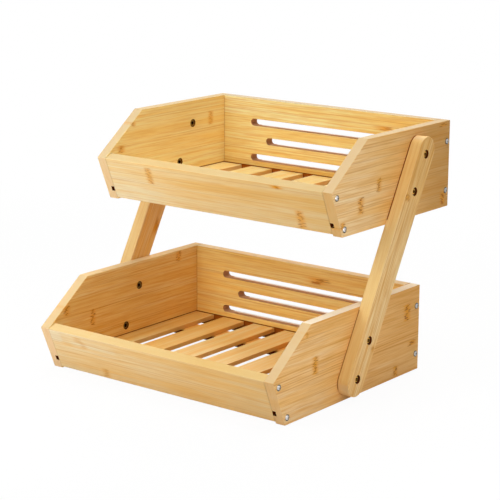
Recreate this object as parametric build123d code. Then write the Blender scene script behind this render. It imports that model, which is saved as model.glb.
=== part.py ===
from build123d import *

import math
import os
from typing import NamedTuple

# Two-tier bamboo fruit basket, in millimetres.
# The front of the basket faces -Y, +X is to the right and +Z is up.
# The origin is on the ground, below the middle of the overall width and depth.

# Trays
tray_width = 350.0
tray_height = 105.0
lower_depth = 289.5
upper_depth = 243.5
board_thickness = 13.0
front_lift = 2.0
back_lift = 0.6
edge_round = 0.8

# Side panel profile, measured from its foremost point, the nose
nose_height = 53.5
toe_setback = 22.0
shoulder_setback = 68.5

# Place of the upper tray, from the lower one
tier_rise = 192.0
tier_setback = 103.5

# Back panel slots
slot_height = 9.0
slot_low_height = 28.0
slot_top_drop = 31.0
long_slot_margin = 44.5
short_slot_margin = 69.5
slot_round = 0.6

# Slatted floor
slat_count = 7
slat_gap = 15.8
slat_thickness = 5.5
slat_underside = 10.5
slat_tuck = 4.4
slat_end_gap = 0.6
slat_round = 0.6
groove_side_room = 0.4
groove_top_room = 0.2
rail_width = 28.0
rail_ground_gap = 2.5
rail_inset = 47.0
rail_end_gap = 2.0
brad_diameter = 1.2
brad_cover = 2.4
brad_room = 0.1

# Legs
leg_width = 32.0
leg_thickness = 16.0
leg_end = 4.8
leg_round = 1.0

# Leg bolts: the outer ones from the panels' edges, the inner ones by what the tray's height leaves
foot_bolt_setback = 137.3
foot_bolt_height = 27.3
head_bolt_setback = 166.0
head_bolt_drop = 29.0
right_bolt_margin = 64.2
left_bolt_margin = 57.8
bolt_diameter = 6.0
bolt_head_lip = 1.8
bolt_head_height = 3.6
bolt_recess = 1.4
bolt_end_gap = 6.0
bolt_room = 0.3
hex_across_flats = 4.0
hex_depth = 2.2
head_chamfer = 0.5

# Sleeve nuts of the leg bolts
nut_wall = 1.0
nut_flange_lip = 0.8
nut_flange_thickness = 1.6
nut_recess = 0.8
nut_end_room = 0.5
nut_socket_depth = 3.0

# Panel screws
screw_diameter = 3.5
screw_head_lip = 1.9
screw_head_height = 1.8
screw_head_rim = 0.5
screw_bite = 17.0
screw_point = 4.0
screw_room = 0.15
cross_length = 3.6
cross_width = 0.8
cross_depth = 1.0
front_screw_drop = 10.0
front_screw_rise = 4.5
back_screw_drop = 25.0
back_screw_rise = 20.3

# Sizes that follow from the ones above
inner_width = tray_width - 2 * board_thickness
overall_depth = max(lower_depth, tier_setback + upper_depth)
front_lean = math.atan2(toe_setback, nose_height)
front_height = math.hypot(toe_setback, nose_height) - front_lift / math.cos(front_lean)
floor_width = inner_width + 2 * slat_tuck
slat_width = (floor_width - slat_gap * (slat_count - 1)) / slat_count
groove_depth = slat_tuck + groove_side_room
groove_height = slat_thickness + groove_top_room
rail_height = slat_underside - rail_ground_gap
brad_bite = slat_thickness - brad_cover
bolt_head_diameter = bolt_diameter + 2 * bolt_head_lip
bolt_counterbore = bolt_head_height + bolt_recess
bolt_engagement = board_thickness - bolt_end_gap
nut_diameter = bolt_diameter + 2 * nut_wall
nut_flange_diameter = nut_diameter + 2 * nut_flange_lip
nut_counterbore = nut_flange_thickness + nut_recess
nut_length = board_thickness - nut_counterbore - nut_end_room
screw_head_diameter = screw_diameter + 2 * screw_head_lip
screw_length = board_thickness + screw_bite

# The front panel's outer face: local Y runs up the panel, the nose edge is its origin
front_face = Plane(
    origin=(0, 0, nose_height),
    x_dir=(1, 0, 0),
    z_dir=(0, -math.cos(front_lean), -math.sin(front_lean)),
)


class Tier(NamedTuple):
    """One tray: its name, its depth, and its place behind and above the lower tray."""

    name: str
    depth: float
    setback: float
    rise: float


lower_tier = Tier("lower", lower_depth, 0.0, 0.0)
upper_tier = Tier("upper", upper_depth, tier_setback, tier_rise)

# What each side takes off the tray's height to give the rise between its two bolts
bolt_margins = {"right": right_bolt_margin, "left": left_bolt_margin}


def placed(tier, shape):
    """Move a shape from its tray's frame, with the nose at Y = 0, to the part's frame."""
    return Pos(0, tier.setback - overall_depth / 2, tier.rise) * shape


def handed(side, shape):
    """A right-hand shape as it is, or its left-hand twin."""
    return shape if side == "right" else mirror(shape, about=Plane.YZ)


def along_x(shape):
    """Turn a shape that was made along +Z so that it lies along +X."""
    return Rot(0, 90, 0) * shape


def bore(diameter, start, length, point):
    """Round cutter along X, from X = start to X = start + length, through a point."""
    return Pos(start + length / 2, point.Y, point.Z) * along_x(Cylinder(diameter / 2, length))


def leg_bolts(side):
    """The four bolt points of a leg, from foot to head, in the lower tray's frame."""
    foot = Vector(0, foot_bolt_setback, foot_bolt_height)
    head = Vector(0, tier_setback + head_bolt_setback, tier_rise + tray_height - head_bolt_drop)
    axis = head - foot
    step = axis * ((tray_height - bolt_margins[side]) / axis.Z)
    return [foot, foot + step, head - step, head]


def tier_bolts(tier, side):
    """The bolt points of one side panel, in its tray's frame."""
    points = leg_bolts(side)
    chosen = points[:2] if tier is lower_tier else points[2:]
    return [point - Vector(0, tier.setback, tier.rise) for point in chosen]


def front_screw_points():
    """Where the front panel's screws stand, in the tray's frame."""
    heights = [-front_screw_drop, front_screw_rise - front_height]
    return [front_face.from_local_coords(Vector(0, y, -board_thickness / 2)) for y in heights]


def back_screw_points(tier):
    """Where the back panel's screws stand, in the tray's frame."""
    y = tier.depth - board_thickness / 2
    return [Vector(0, y, tray_height - back_screw_drop), Vector(0, y, back_screw_rise)]


def slat_centres():
    """X of each slat's middle, from left to right."""
    first = (slat_width - floor_width) / 2
    return [first + (slat_width + slat_gap) * index for index in range(slat_count)]


def slat_span(tier):
    """Y of the front and rear ends of a tray's slats."""
    front_face_y = toe_setback * (1 - slat_underside / nose_height)
    front = front_face_y + board_thickness / math.cos(front_lean) + slat_end_gap
    return front, tier.depth - board_thickness - slat_end_gap


def rail_centres(tier):
    """Y of the middles of the front and rear floor rails."""
    front, rear = slat_span(tier)
    return [front + rail_inset, rear - rail_inset]


def side_panel(tier, side):
    """Five-cornered board with the floor groove, the nut holes and the screw holes."""
    inner_face = inner_width / 2
    outline = Plane.YZ * Polygon(
        (toe_setback, 0),
        (tier.depth, 0),
        (tier.depth, tray_height),
        (shoulder_setback, tray_height),
        (0, nose_height),
        align=None,
    )
    panel = Pos(inner_face, 0, 0) * extrude(outline, board_thickness)
    panel = fillet(panel.edges(), edge_round)
    groove = Box(2 * groove_depth, 2 * tier.depth, groove_height)
    panel -= Pos(inner_face, tier.depth / 2, slat_underside + groove_height / 2) * groove
    for point in tier_bolts(tier, side):
        panel -= bore(nut_diameter + 2 * bolt_room, inner_face, board_thickness, point)
        panel -= bore(nut_flange_diameter + 2 * bolt_room, inner_face, nut_counterbore, point)
    for point in front_screw_points() + back_screw_points(tier):
        panel -= bore(screw_diameter + 2 * screw_room, inner_face, board_thickness, point)
    return handed(side, panel)


def drilled_ends(board, points):
    """Cut the screw pilots into both ends of a front or back panel."""
    length = screw_bite + screw_room
    for point in points:
        pilot = bore(screw_diameter + 2 * screw_room, inner_width / 2 - length, length, point)
        for side in bolt_margins:
            board -= handed(side, pilot)
    return board


def front_panel():
    """Low board that leans forward at the top, flush with the side panels' front edges."""
    board = Box(inner_width, front_height, board_thickness)
    board = fillet(board.edges().filter_by(Axis.X), edge_round)
    board = front_face * Pos(0, -front_height / 2, -board_thickness / 2) * board
    return drilled_ends(board, front_screw_points())


def slot_rims(board, face):
    """The edges of the slots that lie in one face of the back panel."""
    reach = inner_width / 2 - min(long_slot_margin, short_slot_margin)
    low = slot_low_height - slot_height
    high = tray_height - slot_top_drop + slot_height
    rims = []
    for edge in board.edges():
        middle = edge.position_at(0.5)
        on_face = abs(face.to_local_coords(middle).Z) < slot_round
        if on_face and abs(middle.X) < reach + slot_round and low < middle.Z < high:
            rims.append(edge)
    return rims


def back_panel(tier):
    """Full-height board with three long slots, the middle one shorter."""
    height = tray_height - back_lift
    board = Box(inner_width, board_thickness, height)
    board = fillet(board.edges().filter_by(Axis.X), edge_round)
    board = Pos(0, tier.depth - board_thickness / 2, back_lift + height / 2) * board
    low = slot_low_height
    high = tray_height - slot_top_drop
    slots = [(low, long_slot_margin), ((low + high) / 2, short_slot_margin), (high, long_slot_margin)]
    for centre, margin in slots:
        slot = Plane.XZ * SlotOverall(inner_width - 2 * margin, slot_height)
        board -= Pos(0, tier.depth, centre) * extrude(slot, board_thickness, both=True)
    faces = [Plane.XZ.offset(-tier.depth), Plane.XZ.offset(board_thickness - tier.depth)]
    rims = [edge for face in faces for edge in slot_rims(board, face)]
    board = fillet(rims, slot_round)
    return drilled_ends(board, back_screw_points(tier))


def floor_slat(tier, x):
    """One slat, with a blind hole below for each of its brads."""
    front, rear = slat_span(tier)
    slat = Box(slat_width, rear - front, slat_thickness)
    slat = fillet(slat.edges().filter_by(Axis.Y), slat_round)
    slat = Pos(x, (front + rear) / 2, slat_underside + slat_thickness / 2) * slat
    hole = Cylinder(brad_diameter / 2 + brad_room, 2 * (brad_bite + brad_room))
    for y in rail_centres(tier):
        slat -= Pos(x, y, slat_underside) * hole
    return slat


def floor_rail(y):
    """Cross bar under the slats, with a hole for each slat's brad."""
    rail = Box(inner_width - 2 * rail_end_gap, rail_width, rail_height)
    rail = fillet(rail.edges().filter_by(Axis.X), slat_round)
    rail = Pos(0, y, slat_underside - rail_height / 2) * rail
    hole = Cylinder(brad_diameter / 2 + brad_room, 2 * rail_height)
    for x in slat_centres():
        rail -= Pos(x, y, slat_underside - rail_height / 2) * hole
    return rail


def floor_brads(tier):
    """The brads, driven up through the rails into the slats."""
    length = rail_height + brad_bite
    brad = Pos(0, 0, rail_ground_gap + length / 2) * Cylinder(brad_diameter / 2, length)
    return [Pos(x, y, 0) * brad for y in rail_centres(tier) for x in slat_centres()]


def panel_screw():
    """Domed screw with a cross recess, its head's seat at Z = 0 and its point downwards."""
    radius = screw_head_diameter / 2
    crown = screw_head_height - screw_head_rim
    dome_radius = (radius**2 + crown**2) / (2 * crown)
    head = Pos(0, 0, screw_head_height / 2) * Cylinder(radius, screw_head_height)
    head &= Pos(0, 0, screw_head_height - dome_radius) * Sphere(dome_radius)
    shank_length = screw_length - screw_point
    shank = Pos(0, 0, -shank_length / 2) * Cylinder(screw_diameter / 2, shank_length)
    point = Rot(180, 0, 0) * Cone(screw_diameter / 2, 0, screw_point)
    screw = head + shank + Pos(0, 0, -shank_length - screw_point / 2) * point
    for turn in (0, 90):
        recess = Rot(0, 0, turn) * Box(cross_length, cross_width, 2 * cross_depth)
        screw -= Pos(0, 0, screw_head_height) * recess
    return screw


def screw_set(points):
    """A screw at each point in both side panels."""
    seat = tray_width / 2
    screws = [Pos(seat, point.Y, point.Z) * along_x(panel_screw()) for point in points]
    return [handed(side, screw) for side in bolt_margins for screw in screws]


def leg(side):
    """Slanting bar with round ends and counterbored bolt holes."""
    points = leg_bolts(side)
    foot = points[0]
    head = points[-1]
    length = (head - foot).length + 2 * leg_end + leg_width
    panel_face = tray_width / 2
    middle = (foot + head) * 0.5 + Vector(panel_face, 0, 0)
    face = Plane(origin=middle, x_dir=head - foot, z_dir=(1, 0, 0))
    bar = extrude(face * SlotOverall(length, leg_width), leg_thickness)
    rings = bar.edges().group_by(Axis.X)
    bar = fillet(rings[0] + rings[-1], leg_round)
    seat = panel_face + leg_thickness - bolt_counterbore
    for point in points:
        bar -= bore(bolt_diameter + 2 * bolt_room, panel_face, leg_thickness, point)
        bar -= bore(bolt_head_diameter + 2 * bolt_room, seat, bolt_counterbore, point)
    return handed(side, bar)


def hex_socket(depth):
    """Hexagonal cutter that ends at Z = 0 and reaches down."""
    return extrude(RegularPolygon(hex_across_flats / 2, 6, major_radius=False), -depth)


def leg_bolt():
    """Socket bolt, its head's seat at Z = 0 and its shank downwards."""
    head = Pos(0, 0, bolt_head_height / 2) * Cylinder(bolt_head_diameter / 2, bolt_head_height)
    head = chamfer(head.edges().group_by(Axis.Z)[-1], head_chamfer)
    shank_length = leg_thickness - bolt_counterbore + bolt_engagement
    shank = Pos(0, 0, -shank_length / 2) * Cylinder(bolt_diameter / 2, shank_length)
    return head + shank - Pos(0, 0, bolt_head_height) * hex_socket(hex_depth)


def leg_nut():
    """Flanged sleeve nut, its flange's seat at Z = 0 and its open end upwards."""
    flange = Cylinder(nut_flange_diameter / 2, nut_flange_thickness)
    flange = chamfer(flange.edges().group_by(Axis.Z)[0], head_chamfer)
    nut = Pos(0, 0, -nut_flange_thickness / 2) * flange
    nut += Pos(0, 0, nut_length / 2) * Cylinder(nut_diameter / 2, nut_length)
    nut -= Pos(0, 0, nut_length) * Cylinder(bolt_diameter / 2 + bolt_room / 2, 2 * bolt_engagement)
    return nut - Pos(0, 0, nut_socket_depth - nut_flange_thickness) * hex_socket(nut_socket_depth)


def fixing_set(side, fixing, seat):
    """One bolt or nut at each of a leg's bolt points."""
    fixings = [Pos(seat, point.Y, point.Z) * along_x(fixing) for point in leg_bolts(side)]
    return [handed(side, shape) for shape in fixings]


def tray_nodes(tier):
    """Every piece of one tray, by name."""
    nodes = {f"{side}_side_panel": [side_panel(tier, side)] for side in bolt_margins}
    nodes["front_panel"] = [front_panel()]
    nodes["back_panel"] = [back_panel(tier)]
    for number, x in enumerate(slat_centres(), start=1):
        nodes[f"floor_slat_{number}"] = [floor_slat(tier, x)]
    for place, y in zip(("front", "rear"), rail_centres(tier)):
        nodes[f"{place}_floor_rail"] = [floor_rail(y)]
    nodes["floor_brads"] = floor_brads(tier)
    nodes["front_screws"] = screw_set(front_screw_points())
    nodes["back_screws"] = screw_set(back_screw_points(tier))
    return {f"{tier.name}_{name}": shapes for name, shapes in nodes.items()}


def leg_nodes(side):
    """One leg and what bolts it to the trays, by name."""
    bolt_seat = tray_width / 2 + leg_thickness - bolt_counterbore
    nut_seat = inner_width / 2 + nut_counterbore
    return {
        f"{side}_leg": [leg(side)],
        f"{side}_leg_bolts": fixing_set(side, leg_bolt(), bolt_seat),
        f"{side}_leg_nuts": fixing_set(side, leg_nut(), nut_seat),
    }


def write(tier, nodes):
    """Write each node, a single solid or a group of like solids, to its own file."""
    for name, shapes in nodes.items():
        solids = [placed(tier, shape) for shape in shapes]
        export_step(solids[0] if len(solids) == 1 else Compound(solids), f"parts/{name}.step")


os.makedirs("parts", exist_ok=True)
for tier in (lower_tier, upper_tier):
    write(tier, tray_nodes(tier))
for side in bolt_margins:
    write(lower_tier, leg_nodes(side))
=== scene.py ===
"""Looks of a two-tier bamboo fruit basket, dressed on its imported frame."""

import logging
import math
from collections.abc import Mapping, Sequence
from dataclasses import dataclass
from enum import Enum

import bmesh
import bpy
from mathutils import Matrix, Vector


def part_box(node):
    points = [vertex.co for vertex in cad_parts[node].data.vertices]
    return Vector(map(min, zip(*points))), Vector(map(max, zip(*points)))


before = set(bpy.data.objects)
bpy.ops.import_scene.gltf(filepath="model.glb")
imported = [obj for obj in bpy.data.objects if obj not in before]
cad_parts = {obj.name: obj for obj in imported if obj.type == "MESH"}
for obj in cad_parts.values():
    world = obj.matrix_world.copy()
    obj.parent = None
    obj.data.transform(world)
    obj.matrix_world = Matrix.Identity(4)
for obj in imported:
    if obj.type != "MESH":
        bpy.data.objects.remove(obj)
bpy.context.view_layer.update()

LOG = logging.getLogger("basket")
MM = 0.001
WHITE = (1.0, 1.0, 1.0)
# Sanded edge tone, set darker than the faces to offset the strong light on up-facing edges: partly painted
# shade
SANDED_AND_SHADED = (0.780, 0.575, 0.315)
Colour = tuple[float, float, float]
Stretch = tuple[float, float]

# Millimetres to a place past every piece, for what has no limit
FAR = 900.0
EVERYWHERE = (-FAR, FAR)

# The frame's axes: to the right, to the back and up
X, Y, Z = Matrix.Identity(3)

# The basket's whole depth in millimetres
OVERALL_DEPTH = 347.0

# Numbers of the Mix node's colour sockets, which share their names with others
MIX_FACTOR, MIX_A, MIX_B, MIX_RESULT = 0, 6, 7, 2


class Wire:
    """An output socket of a node tree, with arithmetic that adds Math nodes."""

    def __init__(self, graph: "Graph", socket: bpy.types.NodeSocket) -> None:
        """Hold the socket and the graph that it belongs to."""
        self.graph = graph
        self.socket = socket

    def __add__(self, other: "Term") -> "Wire":
        """Sum."""
        return self.graph.math("ADD", self, other)

    def __radd__(self, other: "Term") -> "Wire":
        """Sum, with the number first."""
        return self.graph.math("ADD", other, self)

    def __sub__(self, other: "Term") -> "Wire":
        """Difference."""
        return self.graph.math("SUBTRACT", self, other)

    def __rsub__(self, other: "Term") -> "Wire":
        """Difference, with the number first."""
        return self.graph.math("SUBTRACT", other, self)

    def __mul__(self, other: "Term") -> "Wire":
        """Product."""
        return self.graph.math("MULTIPLY", self, other)

    def __rmul__(self, other: "Term") -> "Wire":
        """Product, with the number first."""
        return self.graph.math("MULTIPLY", other, self)

    def __truediv__(self, other: "Term") -> "Wire":
        """Quotient."""
        return self.graph.math("DIVIDE", self, other)

    def __rtruediv__(self, other: "Term") -> "Wire":
        """Quotient, with the number first."""
        return self.graph.math("DIVIDE", other, self)

    def __pow__(self, other: "Term") -> "Wire":
        """Power."""
        return self.graph.math("POWER", self, other)

    def __rpow__(self, other: "Term") -> "Wire":
        """Power, with the number first."""
        return self.graph.math("POWER", other, self)

    def __abs__(self) -> "Wire":
        """Size without sign."""
        return self.graph.math("ABSOLUTE", self)

    def floor(self) -> "Wire":
        """Next whole number below."""
        return self.graph.math("FLOOR", self)

    def fract(self) -> "Wire":
        """What is left after the whole number below."""
        return self.graph.math("FRACT", self)

    def most(self, other: "Term") -> "Wire":
        """The larger of two values."""
        return self.graph.math("MAXIMUM", self, other)

    def ramp(self, low: float, high: float) -> "Wire":
        """Smooth step.

        Args:
            low: The value that gives 0.
            high: The value that gives 1; below low, the step falls.

        Returns:
            A wire from 0 to 1.
        """
        turned = high < low
        sockets = {
            "Value": self,
            "From Min": min(low, high),
            "From Max": max(low, high),
            "To Min": float(turned),
            "To Max": float(not turned),
        }
        settings = {"interpolation_type": "SMOOTHSTEP"}
        return self.graph.wire("ShaderNodeMapRange", "Result", settings, sockets)

    def within(self, low: float, high: float, soft: float) -> "Wire":
        """1 between two values and 0 outside, with soft ends."""
        return self.ramp(low - soft, low + soft) * self.ramp(high + soft, high - soft)


Term = Wire | float
Feed = Wire | float | Sequence[float]
Settings = Mapping[str, object] | None
Sockets = Mapping[str | int, Feed] | None


class Graph:
    """A node tree that is filled from Python expressions."""

    def __init__(self, tree: bpy.types.NodeTree) -> None:
        """Start with an empty tree."""
        self.tree = tree
        tree.nodes.clear()

    def node(self, kind: str, settings: Settings = None, sockets: Sockets = None) -> bpy.types.Node:
        """Add one node.

        Args:
            kind: The node's type.
            settings: The node's own properties, which are set first.
            sockets: A value or a wire for each named or numbered input.

        Returns:
            The new node.
        """
        made = self.tree.nodes.new(kind)
        for name, value in (settings or {}).items():
            setattr(made, name, value)
        for name, value in (sockets or {}).items():
            self.feed(made.inputs[name], value)
        return made

    def feed(self, socket: bpy.types.NodeSocket, value: Feed) -> None:
        """Link a wire to an input, or set the input's own value.

        Args:
            socket: The input.
            value: A wire, a number, a colour or a vector.
        """
        if isinstance(value, Wire):
            self.tree.links.new(value.socket, socket)
        elif socket.type == "RGBA":
            socket.default_value = (*value, 1.0)
        else:
            socket.default_value = value

    def wire(
        self, kind: str, output: str | int, settings: Settings = None, sockets: Sockets = None
    ) -> Wire:
        """Add one node and give one of its outputs."""
        return Wire(self, self.node(kind, settings, sockets).outputs[output])

    def math(self, operation: str, *terms: Term) -> Wire:
        """Add a Math node for one operation on values."""
        return self.wire("ShaderNodeMath", 0, {"operation": operation}, dict(enumerate(terms)))

    def mix(self, share: Term, first: Feed, second: Feed) -> Wire:
        """Blend two colours: the first alone at a share of 0, the second alone at 1."""
        sockets = {MIX_FACTOR: share, MIX_A: first, MIX_B: second}
        return self.wire("ShaderNodeMix", MIX_RESULT, {"data_type": "RGBA", "clamp_factor": True}, sockets)

    def scaled(self, colour: Feed, factor: Term) -> Wire:
        """Make a colour or a vector stronger or weaker."""
        sockets = {0: colour, "Scale": factor}
        return self.wire("ShaderNodeVectorMath", 0, {"operation": "SCALE"}, sockets)

    def tinted(self, colour: Feed, tint: Feed) -> Wire:
        """Lay a clear tint over a colour."""
        return self.wire("ShaderNodeVectorMath", 0, {"operation": "MULTIPLY"}, {0: colour, 1: tint})

    def vector(self, x: Term, y: Term, z: Term) -> Wire:
        """Join three values to a vector."""
        return self.wire("ShaderNodeCombineXYZ", 0, sockets={"X": x, "Y": y, "Z": z})

    def parts(self, vector: Wire) -> tuple[Wire, Wire, Wire]:
        """Take a vector apart."""
        split = self.node("ShaderNodeSeparateXYZ", sockets={0: vector})
        return tuple(Wire(self, split.outputs[axis]) for axis in "XYZ")

    def blend(self, share: Term, first: bpy.types.Node, second: bpy.types.Node) -> bpy.types.Node:
        """Blend two shaders.

        Args:
            share: How much of the second shader shows, from 0 to 1.
            first: The shader at 0.
            second: The shader at 1.

        Returns:
            The blended shader.
        """
        both = self.node("ShaderNodeMixShader", sockets={0: share})
        self.tree.links.new(first.outputs[0], both.inputs[1])
        self.tree.links.new(second.outputs[0], both.inputs[2])
        return both

    def noise(self, vector: Wire, detail: float, roughness: float) -> Wire:
        """Soft noise, from 0 to 1, with features about one unit across."""
        sockets = {"Vector": vector, "Scale": 1.0, "Detail": detail, "Roughness": roughness}
        return self.wire("ShaderNodeTexNoise", "Fac", {"noise_dimensions": "3D"}, sockets)

    def dice(self, x: Term, y: Term, z: Term) -> tuple[Wire, Wire, Wire]:
        """Three even random numbers, from 0 to 1, for each different set of values."""
        sockets = {"Vector": self.vector(x, y, z)}
        return self.parts(self.wire("ShaderNodeTexWhiteNoise", "Color", {"noise_dimensions": "3D"}, sockets))


def new_material(name: str) -> tuple[bpy.types.Material, Graph]:
    """Start a material.

    Args:
        name: The material's name.

    Returns:
        The empty material and its graph.
    """
    material = bpy.data.materials.new(name)
    material.use_nodes = True
    return material, Graph(material.node_tree)


def close_surface(graph: Graph, shader: bpy.types.Node, kind: str = "ShaderNodeOutputMaterial") -> None:
    """Lead a shader to the surface of a material or, with that kind of output, of the world."""
    output = graph.node(kind)
    graph.tree.links.new(shader.outputs[0], output.inputs["Surface"])


def around(middle: float, reach: float) -> Stretch:
    """The stretch that reaches equally far to both sides of a place."""
    return (middle - reach, middle + reach)


@dataclass(frozen=True)
class Grain:
    """How a piece's fibres lie: two axes and a point in the part's frame, in metres."""

    along: Vector
    across: Vector
    origin: Vector

    def turn(self) -> Matrix:
        """The turn from the part's frame to along, across and through."""
        return Matrix((self.along, self.across, self.along.cross(self.across)))

    def coordinates(self, graph: Graph) -> tuple[Wire, Wire, Wire]:
        """Millimetres along, across and through the piece, from the grain's origin."""
        shift = -(self.turn() @ self.origin) / MM
        return graph.parts(self.turned(graph, "Object", shift, 1 / MM))

    def facing(self, graph: Graph) -> tuple[Wire, Wire, Wire]:
        """How much the surface faces along, across and through the piece, from 0 to 1."""
        normal = self.turned(graph, "Normal", Vector(), 1.0)
        return tuple(abs(part) for part in graph.parts(normal))

    def turned(self, graph: Graph, output: str, shift: Vector, scale: float) -> Wire:
        """Texture coordinates that are scaled, turned to the grain and then shifted.

        Args:
            graph: The material's graph.
            output: The kind of texture coordinates.
            shift: What is added at the end.
            scale: What they are multiplied by at first.

        Returns:
            A vector along, across and through the piece.
        """
        sockets = {
            "Vector": graph.wire("ShaderNodeTexCoord", output),
            "Location": shift,
            "Rotation": self.turn().to_euler("XYZ"),
            "Scale": (scale, scale, scale),
        }
        return graph.wire("ShaderNodeMapping", 0, {"vector_type": "POINT"}, sockets)


# How squarely a surface faces through, across or along a piece where such a face begins and is full
BROAD_FACE = (0.55, 0.85)
SLANTED_EDGE = (0.97, 0.85)
SQUARE_END = (0.70, 0.90)


@dataclass(frozen=True)
class Spot:
    """Where a shaded point lies on a piece: millimetres from the grain's origin.

    Cut is 1 on the narrow faces around the board, slant where those cut the fibres at an angle, and
    end where they cut them square.
    """

    graph: Graph
    along: Wire
    across: Wire
    through: Wire
    cut: Wire
    slant: Wire
    end: Wire

    @classmethod
    def on(cls, graph: Graph, grain: Grain) -> "Spot":
        """Find the shaded point on a piece.

        Args:
            graph: The material's graph.
            grain: How the piece's fibres lie.

        Returns:
            Its place and the kind of face that it is on.
        """
        along, across, through = grain.coordinates(graph)
        face_along, face_across, face_through = grain.facing(graph)
        cut = 1.0 - face_through.ramp(*BROAD_FACE)
        slant = cut * face_across.ramp(*SLANTED_EDGE)
        end = cut * face_along.ramp(*SQUARE_END)
        return cls(graph, along, across, through, cut, slant, end)

    def inside(self, along: Stretch, across: Stretch, soft: float) -> Wire:
        """1 between limits along and across the piece and 0 outside."""
        return self.along.within(*along, soft) * self.across.within(*across, soft)


@dataclass(frozen=True)
class Streaks:
    """Noise that is drawn out along the fibres.

    Along and across are its features per millimetre. Low and high are the values of the noise at
    which the streaks begin and are full.
    """

    along: float
    across: float
    detail: float
    roughness: float
    low: float = 0.0
    high: float = 1.0

    def noise(self, along: Wire, across: Wire, depth: Term) -> Wire:
        """The noise, from 0 to 1, at a place in millimetres and a depth in the noise's own units."""
        place = along.graph.vector(along * self.along, across * self.across, depth)
        return along.graph.noise(place, self.detail, self.roughness)

    def strength(self, noise: Wire) -> Wire:
        """How strong the streaks are, from 0 to 1."""
        return noise.ramp(self.low, self.high)


@dataclass(frozen=True)
class NodeMark:
    """Culm nodes that cross one lamella, in millimetres from the grain's origin.

    The strokes are short and brown, the glow is the orange stain around them, and reach is how far
    both run along the fibres. Scatter, shortest, longer, glow_wander and glow_reach are shares of
    reach, faintest is one of a stroke's strength, and soft is how far the mark fades out across the
    lamella. Stroke_end and stroke_side are where a stroke ends and where it is full.
    """

    along: float
    low: float
    high: float
    reach: float = 3.6
    strokes: float = 0.75
    glow: float = 0.35
    scatter: float = 1.6
    shortest: float = 0.3
    longer: float = 0.5
    faintest: float = 0.4
    glow_wander: float = 1.5
    glow_reach: float = 1.8
    soft: float = 1.2
    stroke_end: Stretch = (1.0, 0.4)
    stroke_side: Stretch = (0.5, 0.15)

    def room(self, spot: Spot) -> Wire:
        """1 on the lamella that the mark crosses and 0 beside it."""
        return spot.across.within(self.low, self.high, self.soft)

    def brown(self, spot: Spot, lane: Wire, seed: float) -> Wire:
        """How much the strokes darken the wood.

        Args:
            spot: The shaded point.
            lane: The place across the piece, counted in strokes.
            seed: The piece's own number.

        Returns:
            The share of brown, from 0 to 1.
        """
        offset, length, depth = spot.graph.dice(lane.floor(), self.along, seed)
        gap = abs(spot.along - self.along + (offset - 0.5) * (self.reach * self.scatter))
        run = (length * self.longer + self.shortest) * self.reach
        stroke = (gap / run).ramp(*self.stroke_end)
        profile = abs(lane.fract() - 0.5).ramp(*self.stroke_side)
        strength = (depth * (1.0 - self.faintest) + self.faintest) * self.strokes
        return stroke * profile * self.room(spot) * strength

    def orange(self, spot: Spot, fine: Wire) -> Wire:
        """How much the stain around the strokes colours the wood, from 0 to 1."""
        away = abs(spot.along - self.along + (fine - 0.5) * (self.reach * self.glow_wander))
        return (away / (self.reach * self.glow_reach)).ramp(1.0, 0.0) * self.room(spot) * self.glow


class Axis(Enum):
    """The two directions of a board's face."""

    ALONG = "along"
    ACROSS = "across"


@dataclass(frozen=True)
class Drift:
    """A slow change over a board, full at its end point and none at its start.

    Ripeness is what it adds, and painted_shade is the share of brightness that it takes away: painted
    shade where less light falls. Some drifts are changes of the bamboo's own tone, others stand in
    for how light falls over a board.
    """

    axis: Axis
    start: float
    end: float
    ripeness: float
    painted_shade: float = 0.0

    def share(self, spot: Spot) -> Wire:
        """How far the change has come, from 0 to 1."""
        place = spot.along if self.axis is Axis.ALONG else spot.across
        return place.ramp(self.start, self.end)


@dataclass(frozen=True)
class Patch:
    """A stretch of a board with its own change, as a drift has, in millimetres from the grain's origin.

    Some patches are painted highlights, such as the pale patches at the top left of the lower front
    panel.
    """

    along: Stretch
    across: Stretch
    ripeness: float
    painted_shade: float = 0.0
    soft: float = 5.0

    def share(self, spot: Spot) -> Wire:
        """1 inside the patch and 0 outside."""
        return spot.inside(self.along, self.across, self.soft)


class RawWood(Enum):
    """Tones of bare, routed and sawn wood, of painted shade where wood lies out of the light, and of painted
    highlight where light washes it out.
    """

    # Painted shade inside grooves and holes, on the slats' ends and where the grooves open on the front
    # panel's ends
    GAP_SHADE = (0.160, 0.028, 0.002)
    # Painted shade in the creases where the panels meet each other and the legs
    JOINT_SHADE = (0.340, 0.105, 0.006)
    # Painted shade in the thin gap above the floor and along the leg's upper joint
    UNDER_SHADE = (0.250, 0.055, 0.003)
    SHADED = (0.400, 0.105, 0.010)
    # Painted shade on the rails' sides under the slats
    RAIL_SHADE = (0.160, 0.022, 0.001)
    # Routed wood, its tone partly painted shade inside the slots
    ROUTED = (0.580, 0.315, 0.155)
    # Sawn wood, its tone partly painted shade on the slats' sides and the rails' tops
    SAWN = (0.850, 0.420, 0.080)
    # Painted highlight where light washes out the back of the slots' floors
    HIGHLIGHT = (0.950, 0.850, 0.720)


class Faces(Enum):
    """The faces of a piece that a zone covers."""

    ALL = "all"
    SIDES = "sides"
    CUT = "cut"
    LONG = "long"
    END = "end"

    def share(self, spot: Spot) -> Term:
        """Find the chosen faces.

        Args:
            spot: The shaded point.

        Returns:
            1 on the chosen faces and 0 on the others.
        """
        shares = {
            Faces.ALL: 1.0,
            Faces.SIDES: 1.0 - spot.end,
            Faces.CUT: spot.cut,
            Faces.LONG: spot.cut - spot.end,
            Faces.END: spot.end,
        }
        return shares[self]


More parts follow.
